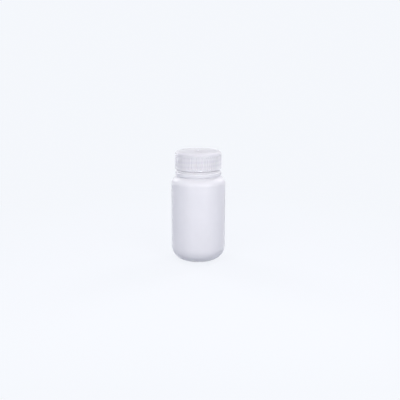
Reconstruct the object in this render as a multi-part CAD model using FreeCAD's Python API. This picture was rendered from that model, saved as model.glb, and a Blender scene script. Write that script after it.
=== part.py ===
import FreeCAD, Part

import math
import os

# Wide-mouth reagent bottle with a grooved screw cap, in millimetres.
# The bottle stands on z = 0 with its axis on Z. It is a blow-moulded shell with a threaded neck.
# The cap screws onto the neck and squeezes a foam liner onto the neck's rim.

# Bottle body
BODY_DIAMETER = 51.0
BODY_HEIGHT = 80.6          # foot to the base of the neck
BODY_WALL = 1.3
HEEL_RADIUS = 13.5
FOOT_RING_WIDTH = 2.2
PUSH_UP_DEPTH = 1.8
PUSH_UP_RUN = 3.0           # radial run of the slope from the foot ring to the raised base
PUSH_UP_FILLET = 2.0
FOOT_FILLET = 0.8
SHOULDER_RADIUS = 7.4
SHOULDER_SLOPE = 25.0       # degrees below the horizontal

# Neck, from the shoulder up to the rim
NECK_WALL = 1.7
COLLAR_STEP = 1.25          # the plain collar stands out this far past the thread
COLLAR_RISE = 1.3           # plain collar between the bead and the threaded neck
BEAD_GAP = 0.8              # plain collar between the shoulder and the bead
BEAD_HEIGHT = 3.8
BEAD_DEPTH = 1.5
BEAD_FILLET = 1.4
NECK_FILLET = 0.5
FINISH_HEIGHT = 15.1        # top of the collar to the rim
RIM_FILLET = 0.35
THROAT_RUN = 2.8            # height over which the bore widens into the collar

# Thread, six turns to the inch, right-handed
THREAD_DIAMETER = 37.5
THREAD_DEPTH = 1.35
THREAD_PITCH = 25.4 / 6
THREAD_CREST = 1.1
THREAD_FLANK = 29.0         # degrees from square to the axis
THREAD_TURNS = 2.35
THREAD_DROP = 2.3           # rim to the ridge's upper end
THREAD_START_ANGLE = 34.0   # the upper end's place round the neck, degrees from +X
THREAD_FADE = 40.0          # degrees over which each end of a ridge sinks into its wall
THREAD_ROOT_OVERLAP = 0.4   # how far a ridge reaches into the wall that carries it

# Cap
CAP_WALL = 2.6              # thread root to the grip's outside
CAP_TOP = 1.7
CAP_EDGE_RADIUS = 2.9
CAP_SKIRT_GAP = 0.8         # collar to the skirt's lower edge, screwed down
CAP_SKIRT_FILLET = 0.5
CAP_MOUTH_CHAMFER = 0.6
CAP_CORNER_FILLET = 0.5     # inside, between the skirt and the top
CAP_THREAD_LIFT = 1.3       # skirt's lower edge to the ridge's lower end
CAP_THREAD_TURNS = 1.6
DISH_DEPTH = 0.6
DISH_RADIUS = 18.0
BUTTON_RADIUS = 4.0
BUTTON_HEIGHT = 0.9
GROOVE_COUNT = 60
GROOVE_DEPTH = 0.55
GROOVE_RADIUS = 0.95
GROOVE_TOP_DROP = 3.6       # cap's upper face to the grooves' upper ends

# Liner and clearances
LINER_THICKNESS = 0.9
LINER_CHAMFER = 0.15
LINER_SIDE_GAP = 0.3        # the liner lies inside the cap's corner fillet by this much
SEAT_GAP = 0.05             # above and below the liner
THREAD_GAP = 0.3            # crest to root, across the thread
FLANK_GAP = 0.35            # along the axis, on the flank that carries the load
FLANK_PLAY = 0.75           # along the axis, on the other flank

# Sizes that follow from the ones above
BODY_R = BODY_DIAMETER / 2
THREAD_R = THREAD_DIAMETER / 2
NECK_R = THREAD_R - THREAD_DEPTH
BORE_R = NECK_R - NECK_WALL
COLLAR_R = THREAD_R + COLLAR_STEP
BEAD_R = COLLAR_R + BEAD_DEPTH
CAP_INNER_R = THREAD_R + THREAD_GAP
CAP_R = CAP_INNER_R + CAP_WALL
CAP_CREST_R = NECK_R + THREAD_GAP

BEAD_Z = BODY_HEIGHT + BEAD_GAP
BEAD_TOP_Z = BEAD_Z + BEAD_HEIGHT
COLLAR_TOP_Z = BEAD_TOP_Z + COLLAR_RISE
RIM_Z = COLLAR_TOP_Z + FINISH_HEIGHT
CAP_BOTTOM_Z = COLLAR_TOP_Z + CAP_SKIRT_GAP
CAP_UNDER_Z = RIM_Z + LINER_THICKNESS + 2 * SEAT_GAP
CAP_TOP_Z = CAP_UNDER_Z + CAP_TOP

FLANK_RUN = math.tan(math.radians(THREAD_FLANK))
NECK_RIDGE_MID_WIDTH = THREAD_CREST + THREAD_DEPTH * FLANK_RUN
CAP_RIDGE_DEPTH = CAP_INNER_R - CAP_CREST_R
CAP_RIDGE_MID_WIDTH = THREAD_PITCH - NECK_RIDGE_MID_WIDTH - FLANK_GAP - FLANK_PLAY
CAP_RIDGE_CREST = CAP_RIDGE_MID_WIDTH - CAP_RIDGE_DEPTH * FLANK_RUN
RIDGE_OFFSET = (NECK_RIDGE_MID_WIDTH + CAP_RIDGE_MID_WIDTH) / 2 + FLANK_GAP

SECTION_STEP = 15.0         # degrees between the sections of a ridge
EDGE_SHARE = 0.999          # most of an edge that the arcs at its two ends may take
Z_AXIS = FreeCAD.Vector(0, 0, 1)
ORIGIN = FreeCAD.Vector(0, 0, 0)


def point(r, z):
    """A point of a profile, drawn in the XZ plane."""
    return FreeCAD.Vector(r, 0, z)


def corner_turn(before, corner, after):
    """Unit directions into and out of a corner, and the angle between them."""
    into = (corner - before).normalize()
    out = (after - corner).normalize()
    return into, out, into.getAngle(out)


def fitted_radii(points, radii):
    """Corner radii, each limited by the straight edges on both sides of its corner."""
    count = len(points)
    reach = [0.0] * count
    for i in range(count):
        if radii[i] > 0:
            turn = corner_turn(points[i - 1], points[i], points[(i + 1) % count])[2]
            reach[i] = radii[i] * math.tan(turn / 2)
    fitted = list(radii)
    for i in range(count):
        for j in (i - 1, (i + 1) % count):
            edge = points[i].distanceToPoint(points[j])
            taken = reach[i] + reach[j]
            room = EDGE_SHARE * edge
            if reach[i] > 0 and taken > room:
                fitted[i] = min(fitted[i], radii[i] * room / taken)
    return fitted


def outline(corners):
    """A closed face from (r, z, corner radius) triples: straight edges joined by tangent arcs."""
    points = [point(r, z) for r, z, _ in corners]
    radii = fitted_radii(points, [radius for _, _, radius in corners])
    edges = []
    last = None
    first = None
    for i, here in enumerate(points):
        before, after = points[i - 1], points[(i + 1) % len(points)]
        start, end, arc = here, here, None
        if radii[i] > 0:
            into, out, turn = corner_turn(before, here, after)
            reach = radii[i] * math.tan(turn / 2)
            start, end = here - into * reach, here + out * reach
            inward = (out - into).normalize()
            middle = here + inward * (radii[i] / math.cos(turn / 2) - radii[i])
            arc = Part.Arc(start, middle, end).toShape()
        if last is not None:
            edges.append(Part.LineSegment(last, start).toShape())
        else:
            first = start
        if arc is not None:
            edges.append(arc)
        last = end
    edges.append(Part.LineSegment(last, first).toShape())
    return Part.Face(Part.Wire(edges))


def turned(corners):
    """The solid that an outline sweeps round the Z axis."""
    return outline(corners).revolve(ORIGIN, Z_AXIS, 360)


def helix_z(angle):
    """Height of the neck ridge's middle at an angle, in degrees, on the thread's helix."""
    return RIM_Z - THREAD_DROP - THREAD_PITCH * (THREAD_START_ANGLE - angle) / 360


def ridge(root_r, crest_r, crest_width, drop, low_angle, high_angle):
    """A helical thread ridge on a wall of radius root_r, sinking into that wall at both ends.

    drop is how far the ridge lies below the neck's own helix.
    """
    side = 1 if crest_r > root_r else -1
    base_r = root_r - side * THREAD_ROOT_OVERLAP
    buried_r = root_r - side * THREAD_ROOT_OVERLAP / 2
    base_width = crest_width + 2 * FLANK_RUN * abs(crest_r - base_r)
    steps = math.ceil((high_angle - low_angle) / SECTION_STEP)
    sections = []
    for i in range(steps + 1):
        angle = low_angle + (high_angle - low_angle) * i / steps
        from_end = min(angle - low_angle, high_angle - angle)
        share = min(1.0, from_end / THREAD_FADE)
        rise = share * share * (3 - 2 * share)
        top_r = buried_r + (crest_r - buried_r) * rise
        z = helix_z(angle) - drop
        corners = [
            point(base_r, z - base_width / 2),
            point(top_r, z - crest_width / 2),
            point(top_r, z + crest_width / 2),
            point(base_r, z + base_width / 2),
        ]
        section = Part.makePolygon(corners + corners[:1])
        section.rotate(ORIGIN, Z_AXIS, angle)
        sections.append(section)
    return Part.makeLoft(sections, True, False)


def make_bottle():
    """The blow-moulded shell: raised base, heel, barrel, shoulder, collar, bead and threaded neck."""
    slope = math.tan(math.radians(SHOULDER_SLOPE))
    shoulder_z = BODY_HEIGHT - (BODY_R - COLLAR_R) * slope
    inner_r = BODY_R - BODY_WALL
    inner_collar_r = COLLAR_R - NECK_WALL
    inner_shoulder_z = shoulder_z - BODY_WALL * math.tan(math.radians(90 - SHOULDER_SLOPE) / 2)
    inner_neck_z = inner_shoulder_z + (inner_r - inner_collar_r) * slope
    throat_z = COLLAR_TOP_Z - NECK_WALL / 2
    foot_inner_r = BODY_R - HEEL_RADIUS - FOOT_RING_WIDTH
    push_up_r = foot_inner_r - PUSH_UP_RUN
    base_shift = BODY_WALL * math.tan(math.atan2(PUSH_UP_DEPTH, PUSH_UP_RUN) / 2)
    shell = turned([
        (0, PUSH_UP_DEPTH, 0),
        (push_up_r, PUSH_UP_DEPTH, PUSH_UP_FILLET),
        (foot_inner_r, 0, FOOT_FILLET),
        (BODY_R, 0, HEEL_RADIUS),
        (BODY_R, shoulder_z, SHOULDER_RADIUS),
        (COLLAR_R, BODY_HEIGHT, NECK_FILLET),
        (COLLAR_R, BEAD_Z, NECK_FILLET),
        (BEAD_R, BEAD_Z, BEAD_FILLET),
        (BEAD_R, BEAD_TOP_Z, BEAD_FILLET),
        (COLLAR_R, BEAD_TOP_Z, NECK_FILLET),
        (COLLAR_R, COLLAR_TOP_Z, NECK_FILLET),
        (NECK_R, COLLAR_TOP_Z, NECK_FILLET),
        (NECK_R, RIM_Z, RIM_FILLET),
        (BORE_R, RIM_Z, RIM_FILLET),
        (BORE_R, throat_z, NECK_WALL),
        (inner_collar_r, throat_z - THROAT_RUN, NECK_WALL),
        (inner_collar_r, inner_neck_z, NECK_WALL),
        (inner_r, inner_shoulder_z, SHOULDER_RADIUS - BODY_WALL),
        (inner_r, BODY_WALL, HEEL_RADIUS - BODY_WALL),
        (foot_inner_r + base_shift, BODY_WALL, FOOT_FILLET),
        (push_up_r + base_shift, PUSH_UP_DEPTH + BODY_WALL, PUSH_UP_FILLET),
        (0, PUSH_UP_DEPTH + BODY_WALL, 0),
    ])
    low_angle = THREAD_START_ANGLE - 360 * THREAD_TURNS
    thread = ridge(NECK_R, THREAD_R, THREAD_CREST, 0, low_angle, THREAD_START_ANGLE)
    return shell.fuse(thread).removeSplitter()


def make_groove():
    """The cutter for one finger groove on the +X side, with a rounded upper end."""
    centre_r = CAP_R + GROOVE_RADIUS - GROOVE_DEPTH
    top_z = CAP_TOP_Z - GROOVE_TOP_DROP - GROOVE_RADIUS
    bottom_z = CAP_BOTTOM_Z - GROOVE_RADIUS
    length = top_z - bottom_z
    shaft = Part.makeCylinder(GROOVE_RADIUS, length, point(centre_r, bottom_z), Z_AXIS)
    end = Part.makeSphere(GROOVE_RADIUS, point(centre_r, top_z))
    return shaft.fuse(end).removeSplitter()


def sphere_through(radius, height, z):
    """A sphere cut by the plane at z in a circle of that radius, with a cap of that height above it."""
    sphere_r = (radius ** 2 + height ** 2) / (2 * abs(height))
    middle_z = z + height - math.copysign(sphere_r, height)
    return Part.makeSphere(sphere_r, point(0, middle_z), Z_AXIS)


def make_cap():
    """The cap: grooved skirt, rounded upper edge, dished top with a raised button, inner thread ridge."""
    cap = turned([
        (0, CAP_UNDER_Z, 0),
        (CAP_INNER_R, CAP_UNDER_Z, CAP_CORNER_FILLET),
        (CAP_INNER_R, CAP_BOTTOM_Z + CAP_MOUTH_CHAMFER, 0),
        (CAP_INNER_R + CAP_MOUTH_CHAMFER, CAP_BOTTOM_Z, 0),
        (CAP_R, CAP_BOTTOM_Z, CAP_SKIRT_FILLET),
        (CAP_R, CAP_TOP_Z, CAP_EDGE_RADIUS),
        (0, CAP_TOP_Z, 0),
    ])
    cap = cap.cut(sphere_through(DISH_RADIUS, -DISH_DEPTH, CAP_TOP_Z))
    dish_z = CAP_TOP_Z - DISH_DEPTH
    core = Part.makeCylinder(DISH_RADIUS, CAP_TOP + BUTTON_HEIGHT, point(0, CAP_UNDER_Z), Z_AXIS)
    button = sphere_through(BUTTON_RADIUS, BUTTON_HEIGHT, dish_z).common(core)
    cap = cap.fuse(button).removeSplitter()
    groove = make_groove()
    cutters = []
    for i in range(GROOVE_COUNT):
        cutter = groove.copy()
        cutter.rotate(ORIGIN, Z_AXIS, 360 * i / GROOVE_COUNT)
        cutters.append(cutter)
    cap = cap.cut(Part.makeCompound(cutters))
    low_z = CAP_BOTTOM_Z + CAP_THREAD_LIFT
    low_angle = 360 * (low_z + RIDGE_OFFSET - helix_z(0)) / THREAD_PITCH
    high_angle = low_angle + 360 * CAP_THREAD_TURNS
    thread = ridge(CAP_INNER_R, CAP_CREST_R, CAP_RIDGE_CREST, RIDGE_OFFSET, low_angle, high_angle)
    return cap.fuse(thread).removeSplitter()


def make_liner():
    """The foam disc between the cap's top and the neck's rim."""
    liner_r = CAP_INNER_R - CAP_CORNER_FILLET - LINER_SIDE_GAP
    low_z = RIM_Z + SEAT_GAP
    high_z = low_z + LINER_THICKNESS
    return turned([
        (0, low_z, 0),
        (liner_r - LINER_CHAMFER, low_z, 0),
        (liner_r, low_z + LINER_CHAMFER, 0),
        (liner_r, high_z - LINER_CHAMFER, 0),
        (liner_r - LINER_CHAMFER, high_z, 0),
        (0, high_z, 0),
    ])


def main():
    os.makedirs("parts", exist_ok=True)
    makers = {"bottle": make_bottle, "screw_cap": make_cap, "seal_liner": make_liner}
    for name, make in makers.items():
        shape = make()
        solids = shape.Solids
        if len(solids) != 1 or not shape.isValid():
            raise RuntimeError(f"{name}: {len(solids)} solids, valid {shape.isValid()}")
        solids[0].exportStep(f"parts/{name}.step")
        print(f"{name}: {solids[0].Volume / 1000:.2f} cm3, {len(solids[0].Faces)} faces")


main()
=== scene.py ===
import math

import bmesh
import bpy
from bpy.props import FloatProperty, FloatVectorProperty, IntProperty, PointerProperty
from bpy.types import Operator, Panel, PropertyGroup
from mathutils import Matrix, Vector


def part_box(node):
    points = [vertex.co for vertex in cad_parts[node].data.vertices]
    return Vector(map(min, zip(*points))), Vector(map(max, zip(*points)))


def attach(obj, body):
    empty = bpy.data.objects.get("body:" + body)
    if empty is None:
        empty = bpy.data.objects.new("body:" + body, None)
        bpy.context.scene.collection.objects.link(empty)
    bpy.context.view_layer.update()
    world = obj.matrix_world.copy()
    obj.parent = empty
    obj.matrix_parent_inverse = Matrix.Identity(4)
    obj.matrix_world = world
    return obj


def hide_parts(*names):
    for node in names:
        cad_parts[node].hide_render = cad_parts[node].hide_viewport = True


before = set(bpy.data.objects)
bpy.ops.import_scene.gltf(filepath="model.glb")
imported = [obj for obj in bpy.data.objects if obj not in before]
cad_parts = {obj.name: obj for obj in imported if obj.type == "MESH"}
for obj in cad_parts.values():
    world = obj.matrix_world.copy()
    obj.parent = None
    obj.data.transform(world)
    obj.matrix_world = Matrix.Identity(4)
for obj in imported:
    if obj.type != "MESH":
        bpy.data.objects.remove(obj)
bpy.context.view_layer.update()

bl_info = {
    "name": "Reagent Bottle",
    "version": (1, 0, 0),
    "blender": (4, 5, 0),
    "location": "View3D > Sidebar > Bottle",
    "description": "Finishes a wide-mouth reagent bottle, its screw cap and its sealing liner",
    "category": "Object",
}

BOTTLE_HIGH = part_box("bottle")[1]
CAP_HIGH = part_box("screw_cap")[1]
LINER_LOW, LINER_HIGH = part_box("seal_liner")
AXIS_Z = Vector((0, 0, 1))
AXIS_Y = Vector((0, 1, 0))

# Patterns: scales in features per metre, bump depths in metres.
NOISE_LOW, NOISE_HIGH = 0.3, 0.7
CLOUD_SCALE = 55
STREAK_STRETCH = (260, 260, 9)
STREAK_LOW = 0.35
STREAK_SHARE = 0.35
SATIN_SCALE = 420
SATIN_BELOW, SATIN_ABOVE = 0.02, 0.08
RIPPLE_SCALE, RIPPLE_STRENGTH, RIPPLE_DEPTH = 260, 0.12, 0.0002
GRAIN_SCALE, GRAIN_STRENGTH, GRAIN_DEPTH = 2600, 0.08, 0.00005
PLASTIC_IOR = 1.5

# The thread's ridge, as shares of its pitch away from the ridge's middle.
RIDGE_FULL, RIDGE_GONE = 0.12, 0.34

# Foam cells: pattern scale, bump, and how much darker the middle of a cell is.
CELL_SCALE = 2200
CELL_LOW, CELL_HIGH = 0.1, 0.7
CELL_STRENGTH, CELL_DEPTH = 0.35, 0.0001
CELL_SHADE = 0.86
FOAM_SCALE = 300
FOAM_SMOOTH, FOAM_ROUGH = 0.75, 0.92
FOAM_SCATTER, FOAM_SCATTER_DEPTH = 0.3, 0.001

# Meshes: faces that meet at more than SHARP_ANGLE, in degrees, keep a sharp edge, and the liner's rims
# are the edges that turn by more than RIM_TURN, in radians.
SHARP_ANGLE = 40
RIM_TURN = 1
FACES_DOWN = -0.9
MERGE_DISTANCE = 1e-7
ARC_STEPS = 24
NUB_STEPS = 32
FLOOR_STEPS = 64

# Rounding, as a share of the weld line's width and of the nub's height.
WELD_ROUND = 0.4
NUB_ROUND = 0.5

# Soft boxes: name, place, width and height, and the stage setting that holds the power.
SOFT_BOXES = (
    ("soft_box_left", (-0.21, -0.33, 0.17), (0.2, 0.35), "left_power"),
    ("soft_box_right", (0.21, -0.33, 0.17), (0.2, 0.35), "right_power"),
    ("soft_box_back_left", (-0.46, 0.45, 0.44), (0.25, 0.35), "back_power"),
    ("soft_box_back_right", (0.46, 0.45, 0.44), (0.25, 0.35), "back_power"),
)
LIT_POINT = Vector((0, 0, 0.055))
FLOOR_ROUGHNESS = 0.8


class BottleFinish(PropertyGroup):
    """The milky blow-moulded plastic of the bottle."""

    colour: FloatVectorProperty(
        name="Colour", description="Plastic where the wall is thin", subtype="COLOR",
        size=3, min=0, max=1, default=(0.957, 0.953, 0.985))
    thick_colour: FloatVectorProperty(
        name="Thick Colour", description="Plastic where the wall is thick", subtype="COLOR",
        size=3, min=0, max=1, default=(0.937, 0.933, 0.97))
    roughness: FloatProperty(
        name="Roughness", description="Satin of the skin", subtype="FACTOR", min=0, max=1, default=0.3)
    solidity: FloatProperty(
        name="Solidity", description="How far each skin of the wall hides what is behind it",
        subtype="FACTOR", min=0, max=1, default=0.65)
    subsurface: FloatProperty(
        name="Subsurface", description="Light that scatters inside the wall",
        subtype="FACTOR", min=0, max=1, default=1.0)
    scatter_depth: FloatProperty(
        name="Scatter Depth", description="How far light scatters inside the wall",
        subtype="DISTANCE", unit="LENGTH", min=0, default=0.0008)


class CapFinish(PropertyGroup):
    """The milky injection-moulded plastic of the cap, with painted shade for its thread and its upper edge.
    """

    colour: FloatVectorProperty(
        name="Colour", description="Plastic where the wall is thin", subtype="COLOR",
        size=3, min=0, max=1, default=(1.0, 0.995, 1.0))
    thick_colour: FloatVectorProperty(
        name="Thick Colour", description="Plastic where the wall is thick", subtype="COLOR",
        size=3, min=0, max=1, default=(0.985, 0.978, 0.995))
    roughness: FloatProperty(
        name="Roughness", description="Satin of the skin", subtype="FACTOR", min=0, max=1, default=0.3)
    solidity: FloatProperty(
        name="Solidity", description="How far each skin of the wall hides what is behind it",
        subtype="FACTOR", min=0, max=1, default=0.5)
    subsurface: FloatProperty(
        name="Subsurface", description="Light that scatters inside the wall",
        subtype="FACTOR", min=0, max=1, default=1.0)
    scatter_depth: FloatProperty(
        name="Scatter Depth", description="How far light scatters inside the wall",
        subtype="DISTANCE", unit="LENGTH", min=0, default=0.0012)
    # Painted shade: darker helical bands on the skirt where the inner thread shows through it.
    thread_shade_colour: FloatVectorProperty(
        name="Thread Colour", description="Skirt where the thread shows through it", subtype="COLOR",
        size=3, min=0, max=1, default=(0.92, 0.91, 0.955))
    # Painted shade: the upper edge and top are darkened between crown_low and crown_high.
    crown_shade_colour: FloatVectorProperty(
        name="Crown Colour", description="Upper edge and top, with no neck behind them", subtype="COLOR",
        size=3, min=0, max=1, default=(0.93, 0.91, 0.955))
    crown_low: FloatProperty(
        name="Crown Low", description="Height where the crown's colour begins",
        subtype="DISTANCE", unit="LENGTH", default=0.0992)
    crown_high: FloatProperty(
        name="Crown High", description="Height where the crown's colour is full",
        subtype="DISTANCE", unit="LENGTH", default=0.1018)
    thread_pitch: FloatProperty(
        name="Thread Pitch", description="Rise of the thread in one turn",
        subtype="DISTANCE", unit="LENGTH", default=0.0254 / 6)
    thread_height: FloatProperty(
        name="Thread Height", description="Height of the inner ridge's middle, on the +X side",
        subtype="DISTANCE", unit="LENGTH", default=0.09678)
    thread_low: FloatProperty(
        name="Thread Low", description="Where the thread begins", subtype="DISTANCE", unit="LENGTH",
        default=0.0886)
    thread_high: FloatProperty(
        name="Thread High", description="Where the thread ends", subtype="DISTANCE", unit="LENGTH",
        default=0.0996)


class LinerSizes(PropertyGroup):
    """The foam disc under the cap's top."""

    colour: FloatVectorProperty(
        name="Colour", description="White foam", subtype="COLOR",
        size=3, min=0, max=1, default=(0.88, 0.88, 0.88))
    rim_inner: FloatProperty(
        name="Rim Inner Radius", description="Inner radius of the mark that the neck's rim leaves",
        subtype="DISTANCE", unit="LENGTH", default=0.0157)
    rim_outer: FloatProperty(
        name="Rim Outer Radius", description="Outer radius of the mark that the neck's rim leaves",
        subtype="DISTANCE", unit="LENGTH", default=0.0174)
    mark_depth: FloatProperty(
        name="Mark Depth", description="How deep the rim has pressed into the foam",
        subtype="DISTANCE", unit="LENGTH", default=0.00012)
    edge_round: FloatProperty(
        name="Edge Round", description="Rounding of the die-cut edge",
        subtype="DISTANCE", unit="LENGTH", default=0.00012)


class MouldMarks(PropertyGroup):
    """The fine lines that the moulds leave on the bottle and the cap."""

    seam_width: FloatProperty(
        name="Seam Width", description="Width of the parting line up each side of the bottle",
        subtype="DISTANCE", unit="LENGTH", default=0.0003)
    seam_height: FloatProperty(
        name="Seam Height", description="How far the parting line stands out",
        subtype="DISTANCE", unit="LENGTH", default=0.00008)
    seam_sink: FloatProperty(
        name="Seam Sink", description="How far the parting line reaches into the wall",
        subtype="DISTANCE", unit="LENGTH", default=0.0002)
    foot_radius: FloatProperty(
        name="Foot Radius", description="Outer radius of the ring that the bottle stands on",
        subtype="DISTANCE", unit="LENGTH", default=0.012)
    body_top: FloatProperty(
        name="Barrel Top", description="Height where the shoulder starts to turn in",
        subtype="DISTANCE", unit="LENGTH", default=0.07332)
    shoulder_radius: FloatProperty(
        name="Shoulder Radius", description="Radius of the shoulder's curve",
        subtype="DISTANCE", unit="LENGTH", default=0.0074)
    shoulder_turn: FloatProperty(
        name="Shoulder Turn", description="Angle that the shoulder's curve turns through",
        subtype="ANGLE", unit="ROTATION", default=math.radians(65))
    base_height: FloatProperty(
        name="Base Height", description="Height of the raised base above the foot",
        subtype="DISTANCE", unit="LENGTH", default=0.0018)
    pinch_length: FloatProperty(
        name="Pinch Length", description="Length of the weld line under the base",
        subtype="DISTANCE", unit="LENGTH", default=0.0085)
    pinch_width: FloatProperty(
        name="Pinch Width", description="Width of the weld line under the base",
        subtype="DISTANCE", unit="LENGTH", default=0.0006)
    pinch_height: FloatProperty(
        name="Pinch Height", description="How far the weld line stands out",
        subtype="DISTANCE", unit="LENGTH", default=0.0004)
    gate_radius: FloatProperty(
        name="Gate Radius", description="Radius of the nub where the cap was filled",
        subtype="DISTANCE", unit="LENGTH", default=0.0007)
    gate_height: FloatProperty(
        name="Gate Height", description="How far the nub stands out of the cap's button",
        subtype="DISTANCE", unit="LENGTH", default=0.00018)
    steps: IntProperty(
        name="Steps", description="Steps in each turned curve", min=8, max=256, default=96)


class StageSettings(PropertyGroup):
    """Floor, light and camera."""

    floor_colour: FloatVectorProperty(
        name="Floor Colour", description="Pale floor under the bottle", subtype="COLOR",
        size=3, min=0, max=1, default=(0.95, 0.96, 0.98))
    floor_bounce: FloatVectorProperty(
        name="Floor Bounce", description="Floor as the bottle sees it, darker to keep the heel in shade",
        subtype="COLOR", size=3, min=0, max=1, default=(0.3, 0.33, 0.41))
    floor_glow: FloatProperty(
        name="Floor Glow", description="Share of plain background in the floor under the bottle",
        subtype="FACTOR", min=0, max=1, default=0.88)
    background: FloatVectorProperty(
        name="Background", description="Pale space behind the bottle", subtype="COLOR",
        size=3, min=0, max=1, default=(0.91, 0.932, 0.973))
    floor_radius: FloatProperty(
        name="Floor Radius", description="Radius of the round floor",
        subtype="DISTANCE", unit="LENGTH", default=4.0)
    fade_start: FloatProperty(
        name="Fade Start", description="Distance at which the floor starts to turn into the background",
        subtype="DISTANCE", unit="LENGTH", default=0.1)
    fade_end: FloatProperty(
        name="Fade End", description="Distance at which the floor is all background",
        subtype="DISTANCE", unit="LENGTH", default=0.36)
    ambient: FloatProperty(name="Ambient", description="Strength of the even light", min=0, default=0.63)
    ambient_colour: FloatVectorProperty(
        name="Ambient Colour", description="Tint of the even light", subtype="COLOR",
        size=3, min=0, max=1, default=(0.88, 0.90, 1.0))
    left_power: FloatProperty(
        name="Left Power", description="Power of the soft box at the front left", subtype="POWER",
        unit="POWER", min=0, default=0.59)
    right_power: FloatProperty(
        name="Right Power", description="Power of the soft box at the front right", subtype="POWER",
        unit="POWER", min=0, default=0.78)
    lamp_colour: FloatVectorProperty(
        name="Lamp Colour", description="Tint of the soft boxes", subtype="COLOR",
        size=3, min=0, max=1, default=(1.0, 0.965, 0.985))
    back_power: FloatProperty(
        name="Back Power", description="Power of each of the two soft boxes behind", subtype="POWER",
        unit="POWER", min=0, default=1.6)
    camera_distance: FloatProperty(
        name="Camera Distance", description="Camera to the aim height on the bottle's axis",
        subtype="DISTANCE", unit="LENGTH", default=0.6)
    camera_elevation: FloatProperty(
        name="Camera Elevation", description="Camera above the horizon, seen from that point",
        subtype="ANGLE", unit="ROTATION", default=math.radians(12.4))
    camera_height: FloatProperty(
        name="Aim Height", description="Height on the bottle's axis that the distance is taken from",
        subtype="DISTANCE", unit="LENGTH", default=0.05)
    lens: FloatProperty(
        name="Lens", description="Focal length on a 36 mm sensor", subtype="DISTANCE_CAMERA",
        unit="CAMERA", default=56.7)
    frame_offset: FloatVectorProperty(
        name="Frame Offset", description="Middle of the picture, to the right of and above that point",
        subtype="XYZ_LENGTH", unit="LENGTH", size=2, default=(0.0016, 0.0069))


class ReagentBottle(PropertyGroup):
    """All settings of the bottle and its stage."""

    bottle: PointerProperty(type=BottleFinish)
    cap: PointerProperty(type=CapFinish)
    liner: PointerProperty(type=LinerSizes)
    marks: PointerProperty(type=MouldMarks)
    stage: PointerProperty(type=StageSettings)


def settings():
    return bpy.context.scene.reagent_bottle


def rgba(colour):
    return (*colour, 1.0)


def new_material(name):
    """An empty node material with a Principled shader, and that shader."""
    material = bpy.data.materials.new(name)
    material.use_nodes = True
    nodes = material.node_tree.nodes
    nodes.clear()
    output = nodes.new("ShaderNodeOutputMaterial")
    shader = nodes.new("ShaderNodeBsdfPrincipled")
    material.node_tree.links.new(shader.outputs["BSDF"], output.inputs["Surface"])
    return material, shader


def noise(material, scale, detail, stretch=(1, 1, 1)):
    """A noise pattern on the piece's own coordinates, in features per metre."""
    nodes, links = material.node_tree.nodes, material.node_tree.links
    place = nodes.new("ShaderNodeTexCoord")
    mapping = nodes.new("ShaderNodeMapping")
    mapping.inputs["Scale"].default_value = stretch
    pattern = nodes.new("ShaderNodeTexNoise")
    pattern.inputs["Scale"].default_value = scale
    pattern.inputs["Detail"].default_value = detail
    links.new(place.outputs["Object"], mapping.inputs["Vector"])
    links.new(mapping.outputs["Vector"], pattern.inputs["Vector"])
    return pattern.outputs["Fac"]


def remap(material, value, low, high, out_low, out_high):
    """A value moved smoothly from one range into another."""
    node = material.node_tree.nodes.new("ShaderNodeMapRange")
    node.interpolation_type = "SMOOTHSTEP"
    bounds = zip(("From Min", "From Max", "To Min", "To Max"), (low, high, out_low, out_high))
    for name, number in bounds:
        node.inputs[name].default_value = number
    material.node_tree.links.new(value, node.inputs["Value"])
    return node.outputs["Result"]


def combine(material, operation, *values):
    """A Math node on two or three values, any of which may be a plain number."""
    node = material.node_tree.nodes.new("ShaderNodeMath")
    node.operation = operation
    for socket, value in zip(node.inputs, values):
        if isinstance(value, (int, float)):
            socket.default_value = value
        else:
            material.node_tree.links.new(value, socket)
    return node.outputs["Value"]


def blend_colours(material, factor, first, second):
    """A mix of two colours, either of which may be a plain colour."""
    node = material.node_tree.nodes.new("ShaderNodeMix")
    node.data_type = "RGBA"
    sockets = {socket.identifier: socket for socket in node.inputs}
    for name, colour in (("A_Color", first), ("B_Color", second)):
        if isinstance(colour, bpy.types.NodeSocket):
            material.node_tree.links.new(colour, sockets[name])
        else:
            sockets[name].default_value = rgba(colour)
    material.node_tree.links.new(factor, sockets["Factor_Float"])
    return next(socket for socket in node.outputs if socket.identifier == "Result_Color")


def add_bump(material, height, strength, distance, below=None):
    """A bump of that height, on top of another bump where one is given."""
    node = material.node_tree.nodes.new("ShaderNodeBump")
    node.inputs["Strength"].default_value = strength
    node.inputs["Distance"].default_value = distance
    material.node_tree.links.new(height, node.inputs["Height"])
    if below is not None:
        material.node_tree.links.new(below, node.inputs["Normal"])
    return node.outputs["Normal"]


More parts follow.
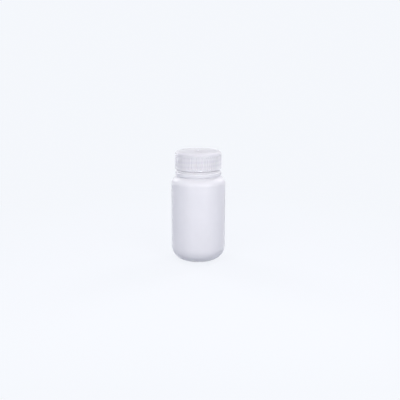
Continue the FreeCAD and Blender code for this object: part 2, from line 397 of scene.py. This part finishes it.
def milky_plastic(name, finish):
    """Translucent moulded plastic: uneven wall, upright flow lines, satin skin with a fine ripple."""
    material, shader = new_material(name)
    links = material.node_tree.links
    cloud = remap(material, noise(material, CLOUD_SCALE, 3), NOISE_LOW, NOISE_HIGH, 0, 1)
    streak = remap(material, noise(material, 1, 3, STREAK_STRETCH), STREAK_LOW, NOISE_HIGH, 0, 1)
    uneven = combine(material, "MULTIPLY_ADD", streak, STREAK_SHARE, cloud)
    thickness = remap(material, uneven, 0, 1 + STREAK_SHARE, 0, 1)
    tint = blend_colours(material, thickness, finish.colour, finish.thick_colour)
    links.new(tint, shader.inputs["Base Color"])
    satin = remap(material, noise(material, SATIN_SCALE, 4), NOISE_LOW, NOISE_HIGH,
                  finish.roughness - SATIN_BELOW, finish.roughness + SATIN_ABOVE)
    links.new(satin, shader.inputs["Roughness"])
    ripple = add_bump(material, noise(material, RIPPLE_SCALE, 2), RIPPLE_STRENGTH, RIPPLE_DEPTH)
    grain = add_bump(material, noise(material, GRAIN_SCALE, 3), GRAIN_STRENGTH, GRAIN_DEPTH, ripple)
    links.new(grain, shader.inputs["Normal"])
    shader.inputs["IOR"].default_value = PLASTIC_IOR
    shader.inputs["Alpha"].default_value = finish.solidity
    shader.inputs["Subsurface Weight"].default_value = finish.subsurface
    shader.inputs["Subsurface Radius"].default_value = (1, 1, 1)
    shader.inputs["Subsurface Scale"].default_value = finish.scatter_depth
    return material


def object_place(material):
    """The three coordinates of the piece itself."""
    nodes = material.node_tree.nodes
    split = nodes.new("ShaderNodeSeparateXYZ")
    place = nodes.new("ShaderNodeTexCoord")
    material.node_tree.links.new(place.outputs["Object"], split.inputs["Vector"])
    return split.outputs


def thread_shade_mask(material, finish):
    """Mask for the painted shade of the thread seen through the skirt: one along the thread's ridge and
    nought between its turns, faded out past both its ends.
    """
    across, along, height = object_place(material)
    angle = combine(material, "ARCTAN2", along, across)
    turns = combine(material, "DIVIDE", angle, 2 * math.pi)
    rise = combine(material, "SUBTRACT", height, finish.thread_height)
    climb = combine(material, "DIVIDE", rise, finish.thread_pitch)
    phase = combine(material, "SUBTRACT", climb, turns)
    wave = combine(material, "PINGPONG", phase, 0.5)
    ridge = remap(material, wave, RIDGE_FULL, RIDGE_GONE, 1, 0)
    edge = finish.thread_pitch / 4
    begun = remap(material, height, finish.thread_low - edge, finish.thread_low + edge, 0, 1)
    over = remap(material, height, finish.thread_high - edge, finish.thread_high + edge, 1, 0)
    return combine(material, "MULTIPLY", combine(material, "MULTIPLY", ridge, begun), over)


def paint_thread_and_crown_shade(material, finish):
    """Painted shade in the cap's colour: darker bands where the thread shows through the skirt, and a
    darker upper edge and top with no neck behind them.
    """
    shader = material.node_tree.nodes["Principled BSDF"]
    plain = shader.inputs["Base Color"].links[0].from_socket
    # Painted shade of the inner thread, seen through the skirt.
    skirt = blend_colours(material, thread_shade_mask(material, finish), plain, finish.thread_shade_colour)
    height = object_place(material)[2]
    # Painted shade that darkens the upper edge and top.
    crown = remap(material, height, finish.crown_low, finish.crown_high, 0, 1)
    colour = blend_colours(material, crown, skirt, finish.crown_shade_colour)
    material.node_tree.links.new(colour, shader.inputs["Base Color"])


def cell_foam(name, colour):
    """White closed-cell foam: small cells, matte."""
    material, shader = new_material(name)
    nodes, links = material.node_tree.nodes, material.node_tree.links
    place = nodes.new("ShaderNodeTexCoord")
    cells = nodes.new("ShaderNodeTexVoronoi")
    cells.inputs["Scale"].default_value = CELL_SCALE
    links.new(place.outputs["Object"], cells.inputs["Vector"])
    wall = remap(material, cells.outputs["Distance"], CELL_LOW, CELL_HIGH, 0, 1)
    shade = [CELL_SHADE * part for part in colour]
    links.new(blend_colours(material, wall, shade, colour), shader.inputs["Base Color"])
    links.new(add_bump(material, wall, CELL_STRENGTH, CELL_DEPTH), shader.inputs["Normal"])
    matte = remap(material, noise(material, FOAM_SCALE, 2), NOISE_LOW, NOISE_HIGH, FOAM_SMOOTH, FOAM_ROUGH)
    links.new(matte, shader.inputs["Roughness"])
    shader.inputs["Subsurface Weight"].default_value = FOAM_SCATTER
    shader.inputs["Subsurface Radius"].default_value = (1, 1, 1)
    shader.inputs["Subsurface Scale"].default_value = FOAM_SCATTER_DEPTH
    return material


def new_piece(name, bm, material, body):
    """A finished, smoothly shaded piece from a bmesh, riding on a body."""
    mesh = bpy.data.meshes.new(name)
    bm.to_mesh(mesh)
    bm.free()
    mesh.materials.append(material)
    mesh.shade_smooth()
    mesh.set_sharp_from_angle(angle=math.radians(SHARP_ANGLE))
    piece = bpy.data.objects.new(name, mesh)
    bpy.context.scene.collection.objects.link(piece)
    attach(piece, body)
    return piece


def dress_node(node, material):
    """Gives a CAD node its finish."""
    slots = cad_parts[node].data.materials
    slots.clear()
    slots.append(material)


def close_piece(bm):
    """Merges doubles and turns the faces outwards."""
    bmesh.ops.remove_doubles(bm, verts=bm.verts, dist=MERGE_DISTANCE)
    bmesh.ops.recalc_face_normals(bm, faces=bm.faces)


class FinishBottle(Operator):
    """Gives the bottle its milky blow-moulded plastic"""

    bl_idname = "reagent_bottle.finish_bottle"
    bl_label = "Finish Bottle"

    def execute(self, context):
        dress_node("bottle", milky_plastic("bottle_plastic", settings().bottle))
        return {"FINISHED"}


class FinishCap(Operator):
    """Gives the screw cap its milky injection-moulded plastic"""

    bl_idname = "reagent_bottle.finish_cap"
    bl_label = "Finish Screw Cap"

    def execute(self, context):
        finish = settings().cap
        material = milky_plastic("cap_plastic", finish)
        # Paints shade into the cap's colour: thread bands on the skirt and a darker upper edge and top.
        paint_thread_and_crown_shade(material, finish)
        dress_node("screw_cap", material)
        return {"FINISHED"}


class BuildLiner(Operator):
    """Builds the foam sealing liner with the mark of the neck's rim"""

    bl_idname = "reagent_bottle.build_liner"
    bl_label = "Build Sealing Liner"

    def execute(self, context):
        sizes = settings().liner
        radius = LINER_HIGH.x
        bm = bmesh.new()
        bmesh.ops.create_circle(bm, cap_ends=True, segments=settings().marks.steps, radius=radius)
        bmesh.ops.translate(bm, verts=bm.verts, vec=AXIS_Z * LINER_LOW.z)
        under = bm.faces[:]
        raised = bmesh.ops.extrude_face_region(bm, geom=under, use_keep_orig=True)["geom"]
        verts = [item for item in raised if isinstance(item, bmesh.types.BMVert)]
        bmesh.ops.translate(bm, verts=verts, vec=AXIS_Z * (LINER_HIGH.z - LINER_LOW.z))
        close_piece(bm)
        under = [face for face in bm.faces if face.normal.z < FACES_DOWN]
        rims = [edge for edge in bm.edges if edge.calc_face_angle() > RIM_TURN]
        for thickness, depth in (
            (radius - sizes.rim_outer, 0),
            (sizes.mark_depth, -sizes.mark_depth),
            (sizes.rim_outer - sizes.rim_inner - 2 * sizes.mark_depth, 0),
            (sizes.mark_depth, sizes.mark_depth),
        ):
            bmesh.ops.inset_region(bm, faces=under, thickness=thickness, depth=depth, use_even_offset=True)
        bmesh.ops.bevel(bm, geom=rims, offset=sizes.edge_round, affect="EDGES", segments=2,
                        profile=0.5, material=-1)
        close_piece(bm)
        piece = new_piece("liner_disc", bm, cell_foam("liner_foam", sizes.colour), "liner")
        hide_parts("seal_liner")
        return {"FINISHED"}


class BuildMouldMarks(Operator):
    """Builds the parting line, the weld line under the base and the nub on the cap's button"""

    bl_idname = "reagent_bottle.build_mould_marks"
    bl_label = "Build Mould Marks"

    def execute(self, context):
        sizes = settings().marks
        bottle_plastic = bpy.data.materials["bottle_plastic"]
        cap_plastic = bpy.data.materials["cap_plastic"]
        new_piece("parting_line", self.parting_line(sizes), bottle_plastic, "bottle")
        new_piece("base_weld_line", self.weld_line(sizes), bottle_plastic, "bottle")
        new_piece("cap_gate_nub", self.gate_nub(sizes), cap_plastic, "cap")
        return {"FINISHED"}

    def parting_line(self, sizes):
        """A thin rib up both sides of the bottle, from the foot over the heel, barrel and shoulder."""
        body_r = BOTTLE_HIGH.x
        heel = body_r - sizes.foot_radius
        bm = bmesh.new()
        foot = bm.verts.new((sizes.foot_radius, -sizes.seam_width / 2, sizes.seam_sink))
        heel_centre = Vector((sizes.foot_radius, 0, heel))
        end = self.arc(bm, foot, heel_centre, -math.pi / 2)
        top = bmesh.ops.extrude_vert_indiv(bm, verts=[end])["verts"][0]
        top.co.z = sizes.body_top
        shoulder_centre = Vector((body_r - sizes.shoulder_radius, 0, sizes.body_top))
        self.arc(bm, top, shoulder_centre, -sizes.shoulder_turn)
        strip = bmesh.ops.extrude_edge_only(bm, edges=bm.edges[:])["geom"]
        verts = [item for item in strip if isinstance(item, bmesh.types.BMVert)]
        bmesh.ops.translate(bm, verts=verts, vec=AXIS_Y * sizes.seam_width)
        bmesh.ops.recalc_face_normals(bm, faces=bm.faces)
        wall = sizes.seam_sink + sizes.seam_height
        bmesh.ops.solidify(bm, geom=bm.faces[:], thickness=wall)
        other = bmesh.ops.duplicate(bm, geom=bm.verts[:] + bm.edges[:] + bm.faces[:])["geom"]
        verts = [item for item in other if isinstance(item, bmesh.types.BMVert)]
        bmesh.ops.rotate(bm, verts=verts, cent=Vector(), matrix=Matrix.Rotation(math.pi, 3, "Z"))
        close_piece(bm)
        return bm

    def arc(self, bm, start, centre, turn):
        """Carries a vertex round a centre, leaving an arc of edges, and gives its last vertex."""
        made = bmesh.ops.spin(bm, geom=[start], cent=centre, axis=AXIS_Y, angle=turn,
                              steps=ARC_STEPS)
        return [item for item in made["geom_last"] if isinstance(item, bmesh.types.BMVert)][0]

    def weld_line(self, sizes):
        """A low bar across the raised base, where the mould pinched the tube of plastic shut."""
        bm = bmesh.new()
        bmesh.ops.create_cube(bm, size=1)
        size = Vector((sizes.pinch_length, sizes.pinch_width, 2 * sizes.pinch_height))
        bmesh.ops.scale(bm, verts=bm.verts, vec=size)
        low = [edge for edge in bm.edges if all(vert.co.z < 0 for vert in edge.verts)]
        bmesh.ops.bevel(bm, geom=low, offset=WELD_ROUND * sizes.pinch_width, affect="EDGES", segments=3,
                        profile=0.5, material=-1)
        bmesh.ops.translate(bm, verts=bm.verts, vec=AXIS_Z * sizes.base_height)
        close_piece(bm)
        return bm

    def gate_nub(self, sizes):
        """A small trimmed nub in the middle of the cap's button."""
        bm = bmesh.new()
        bmesh.ops.create_circle(bm, cap_ends=True, segments=NUB_STEPS, radius=sizes.gate_radius)
        raised = bmesh.ops.extrude_face_region(bm, geom=bm.faces[:], use_keep_orig=True)["geom"]
        verts = [item for item in raised if isinstance(item, bmesh.types.BMVert)]
        bmesh.ops.translate(bm, verts=verts, vec=AXIS_Z * 2 * sizes.gate_height)
        close_piece(bm)
        rim = [edge for edge in bm.edges if all(vert.co.z > sizes.gate_height for vert in edge.verts)]
        bmesh.ops.bevel(bm, geom=rim, offset=NUB_ROUND * sizes.gate_height, affect="EDGES", segments=3,
                        profile=0.5, material=-1)
        bmesh.ops.translate(bm, verts=bm.verts, vec=AXIS_Z * (CAP_HIGH.z - sizes.gate_height))
        close_piece(bm)
        return bm


def seen_directly(tree):
    """One where the camera sees a surface, straight on, in a reflection or through the plastic."""
    path = tree.nodes.new("ShaderNodeLightPath")
    total = path.outputs["Is Camera Ray"]
    for kind in ("Is Glossy Ray", "Is Transmission Ray"):
        node = tree.nodes.new("ShaderNodeMath")
        node.operation = "MAXIMUM"
        tree.links.new(total, node.inputs[0])
        tree.links.new(path.outputs[kind], node.inputs[1])
        total = node.outputs["Value"]
    return total


class SetStage(Operator):
    """Sets the pale floor, the soft light and the camera"""

    bl_idname = "reagent_bottle.set_stage"
    bl_label = "Set Stage"

    def execute(self, context):
        stage = settings().stage
        self.lay_floor(context, stage)
        self.light_world(context, stage)
        self.hang_lamps(context, stage)
        self.place_camera(context, stage)
        context.scene.view_settings.view_transform = "Standard"
        return {"FINISHED"}

    def lay_floor(self, context, stage):
        """A round floor that fades into the background."""
        bm = bmesh.new()
        bmesh.ops.create_circle(bm, cap_ends=True, segments=FLOOR_STEPS, radius=stage.floor_radius)
        mesh = bpy.data.meshes.new("floor")
        bm.to_mesh(mesh)
        bm.free()
        mesh.materials.append(self.floor_material(stage))
        floor = bpy.data.objects.new("floor", mesh)
        context.scene.collection.objects.link(floor)

    def floor_material(self, stage):
        """A pale matte floor near the bottle, and plain background further off."""
        material, shader = new_material("floor_finish")
        nodes, links = material.node_tree.nodes, material.node_tree.links
        seen = seen_directly(material.node_tree)
        tone = blend_colours(material, seen, stage.floor_bounce, stage.floor_colour)
        links.new(tone, shader.inputs["Base Color"])
        shader.inputs["Roughness"].default_value = FLOOR_ROUGHNESS
        shader.inputs["Specular IOR Level"].default_value = 0.0
        glow = nodes.new("ShaderNodeEmission")
        glow.inputs["Color"].default_value = rgba(stage.background)
        place = nodes.new("ShaderNodeTexCoord")
        away = nodes.new("ShaderNodeVectorMath")
        away.operation = "LENGTH"
        links.new(place.outputs["Object"], away.inputs[0])
        fade = remap(material, away.outputs["Value"], stage.fade_start, stage.fade_end, stage.floor_glow, 1)
        blend = nodes.new("ShaderNodeMixShader")
        links.new(combine(material, "MULTIPLY", fade, seen), blend.inputs["Fac"])
        links.new(shader.outputs["BSDF"], blend.inputs[1])
        links.new(glow.outputs["Emission"], blend.inputs[2])
        links.new(blend.outputs["Shader"], nodes["Material Output"].inputs["Surface"])
        return material

    def light_world(self, context, stage):
        """Even light from all round, with the pale background where it is seen."""
        world = bpy.data.worlds.new("studio")
        world.use_nodes = True
        context.scene.world = world
        tree = world.node_tree
        tree.nodes.clear()
        output = tree.nodes.new("ShaderNodeOutputWorld")
        even = tree.nodes.new("ShaderNodeBackground")
        even.inputs["Color"].default_value = rgba(stage.ambient_colour)
        even.inputs["Strength"].default_value = stage.ambient
        seen = tree.nodes.new("ShaderNodeBackground")
        seen.inputs["Color"].default_value = rgba(stage.background)
        blend = tree.nodes.new("ShaderNodeMixShader")
        tree.links.new(seen_directly(tree), blend.inputs["Fac"])
        tree.links.new(even.outputs["Background"], blend.inputs[1])
        tree.links.new(seen.outputs["Background"], blend.inputs[2])
        tree.links.new(blend.outputs["Shader"], output.inputs["Surface"])

    def hang_lamps(self, context, stage):
        """Soft boxes at the two front corners and the two back corners."""
        for name, place, (width, height), power in SOFT_BOXES:
            data = bpy.data.lights.new(name, "AREA")
            data.shape = "RECTANGLE"
            data.size = width
            data.size_y = height
            data.energy = getattr(stage, power)
            data.color = stage.lamp_colour
            lamp = bpy.data.objects.new(name, data)
            lamp.location = place
            lamp.rotation_euler = (LIT_POINT - Vector(place)).to_track_quat("-Z", "Y").to_euler()
            context.scene.collection.objects.link(lamp)

    def place_camera(self, context, stage):
        """The camera at the photograph's viewing angle."""
        back = Vector((0, -math.cos(stage.camera_elevation), math.sin(stage.camera_elevation)))
        up = Vector((0, math.sin(stage.camera_elevation), math.cos(stage.camera_elevation)))
        aim = AXIS_Z * stage.camera_height
        middle = aim + Vector((1, 0, 0)) * stage.frame_offset[0] + up * stage.frame_offset[1]
        data = bpy.data.cameras.new("camera")
        data.lens = stage.lens
        camera = bpy.data.objects.new("camera", data)
        camera.location = aim + back * stage.camera_distance
        camera.rotation_euler = (middle - camera.location).to_track_quat("-Z", "Y").to_euler()
        context.scene.collection.objects.link(camera)
        context.scene.camera = camera


class BottlePanel(Panel):
    """Lists the steps that finish the bottle"""

    bl_idname = "VIEW3D_PT_reagent_bottle"
    bl_label = "Reagent Bottle"
    bl_space_type = "VIEW_3D"
    bl_region_type = "UI"
    bl_category = "Bottle"

    def draw(self, context):
        for step in STEPS:
            self.layout.operator(step.bl_idname)


STEPS = (FinishBottle, FinishCap, BuildLiner, BuildMouldMarks, SetStage)
CLASSES = (
    BottleFinish, CapFinish, LinerSizes, MouldMarks, StageSettings, ReagentBottle, *STEPS, BottlePanel)


def register():
    for cls in CLASSES:
        bpy.utils.register_class(cls)
    bpy.types.Scene.reagent_bottle = PointerProperty(type=ReagentBottle)


def unregister():
    del bpy.types.Scene.reagent_bottle
    for cls in reversed(CLASSES):
        bpy.utils.unregister_class(cls)


def main():
    register()
    bpy.ops.reagent_bottle.finish_bottle()
    bpy.ops.reagent_bottle.finish_cap()
    bpy.ops.reagent_bottle.build_liner()
    bpy.ops.reagent_bottle.build_mould_marks()
    bpy.ops.reagent_bottle.set_stage()


if __name__ == "__main__":
    main()
